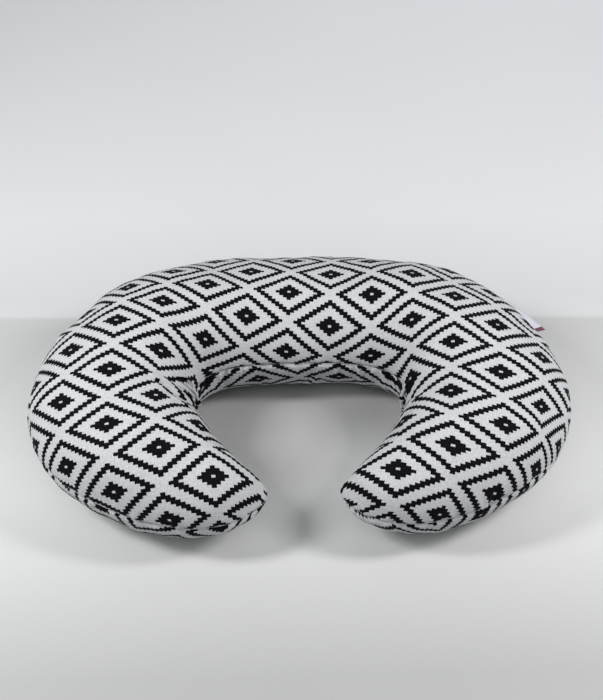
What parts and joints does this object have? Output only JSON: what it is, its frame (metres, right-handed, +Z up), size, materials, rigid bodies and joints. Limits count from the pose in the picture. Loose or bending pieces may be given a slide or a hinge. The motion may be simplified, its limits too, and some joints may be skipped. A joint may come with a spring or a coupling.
{
  "type": "nursing pillow",
  "caption": "C-shaped padded nursing pillow with a printed, zipped cotton slip cover over a fibre-filled inner pillow.",
  "frame": {"origin": "on the resting plane, under the centre of the bounding box", "axes": "+Z up, +X across the width towards the label's side, +Y towards the closed back of the C"},
  "size_m": [0.5622, 0.3577, 0.1374],
  "materials": {
    "printed_cotton": "matt white knitted cotton printed with black stepped diamonds",
    "casing_cloth": "plain white woven polycotton",
    "polyester_fibre": "white hollow-fibre wadding",
    "zip_tape": "white woven zip tape",
    "zip_nylon": "white moulded nylon coil",
    "zip_metal": "nickel-plated, satin",
    "label_ribbon": "lavender-grey woven ribbon with a plum end",
    "label_satin": "plain white satin"
  },
  "bodies": {
    "pillow": {"cover_top_panel": "printed_cotton", "cover_bottom_panel": "printed_cotton", "casing_top_panel": "casing_cloth", "casing_bottom_panel": "casing_cloth", "fibre_filling": "polyester_fibre", "zip_tape_upper": "zip_tape", "zip_tape_lower": "zip_tape", "zip_teeth_upper": "zip_nylon", "zip_teeth_lower": "zip_nylon", "zip_top_stop_upper": "zip_metal", "zip_top_stop_lower": "zip_metal", "zip_bottom_stop": "zip_metal", "woven_label": "label_ribbon", "wash_label": "label_satin"},
    "slider": {"zip_slider": "zip_metal"},
    "pull_tab": {"zip_pull_tab": "zip_metal"}
  },
  "joints": [
    {"name": "zip_slider_travel", "type": "hinge", "parent": "pillow", "child": "slider", "pos_m": [0, -0.3086, 0.0585], "axis": [0, 0, 1], "range_deg": [0, 33.43]},
    {"name": "pull_tab_flip", "type": "hinge", "parent": "slider", "child": "pull_tab", "pos_m": [0.14054, 0.15935, 0.0585], "axis": [0, 0, -1], "range_deg": [0, 160]}
  ]
}
